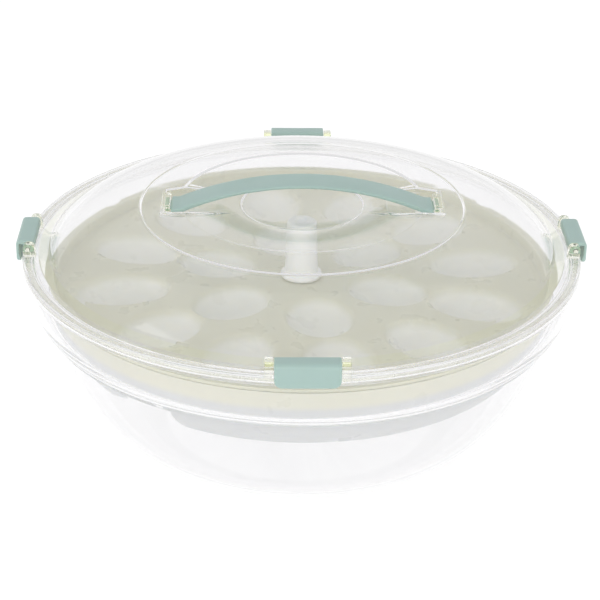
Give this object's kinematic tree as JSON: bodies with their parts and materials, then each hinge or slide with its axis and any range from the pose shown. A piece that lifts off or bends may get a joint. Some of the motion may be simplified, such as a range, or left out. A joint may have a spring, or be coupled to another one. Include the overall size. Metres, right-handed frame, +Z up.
{
  "type": "chip and dip server",
  "caption": "Round clear serving bowl with a divided tray and an egg tray nested under a domed lid with a strap handle and hinged latches.",
  "frame": {"origin": "middle of the bowl's flat base, on the surface it stands on", "axes": "+Z up through the lift post; X runs along the strap handle; -Y is the front"},
  "size_m": [0.355, 0.355, 0.1666],
  "materials": {
    "clear_plastic": "polished clear moulding",
    "white_plastic": "satin, slightly translucent",
    "cream_plastic": "satin, slightly translucent",
    "post_plastic": "satin",
    "teal_plastic": "satin, fine moulded surface",
    "seal_rubber": "soft translucent rubber",
    "pin_plastic": "polished, slightly yellow"
  },
  "bodies": {
    "bowl": {"bowl": "clear_plastic"},
    "divided_tray": {"divided_tray": "white_plastic"},
    "egg_tray": {"egg_tray": "cream_plastic", "lift_post": "post_plastic"},
    "lid": {"lid": "clear_plastic", "lid_seal": "seal_rubber", "handle_strap": "teal_plastic", "pin_right": "pin_plastic", "pin_back": "pin_plastic", "pin_left": "pin_plastic", "pin_front": "pin_plastic"},
    "latch_right": {"latch_right": "teal_plastic"},
    "latch_back": {"latch_back": "teal_plastic"},
    "latch_left": {"latch_left": "teal_plastic"},
    "latch_front": {"latch_front": "teal_plastic"}
  },
  "joints": [
    {"name": "divided_tray_lift", "type": "slide", "parent": "bowl", "child": "divided_tray", "axis": [0, 0, 1], "range_m": [0, 0.08]},
    {"name": "egg_tray_lift", "type": "slide", "parent": "divided_tray", "child": "egg_tray", "axis": [0, 0, 1], "range_m": [0, 0.06]},
    {"name": "lid_lift", "type": "slide", "parent": "egg_tray", "child": "lid", "axis": [0, 0, 1], "range_m": [0, 0.06]},
    {"name": "latch_right_hinge", "type": "hinge", "parent": "lid", "child": "latch_right", "pos_m": [0.1697, 0, 0.1289], "axis": [0, -1, 0], "range_deg": [0, 110]},
    {"name": "latch_back_hinge", "type": "hinge", "parent": "lid", "child": "latch_back", "pos_m": [0, 0.1697, 0.1289], "axis": [1, 0, 0], "range_deg": [0, 110]},
    {"name": "latch_left_hinge", "type": "hinge", "parent": "lid", "child": "latch_left", "pos_m": [-0.1697, 0, 0.1289], "axis": [0, 1, 0], "range_deg": [0, 110]},
    {"name": "latch_front_hinge", "type": "hinge", "parent": "lid", "child": "latch_front", "pos_m": [0, -0.1697, 0.1289], "axis": [-1, 0, 0], "range_deg": [0, 110]}
  ]
}
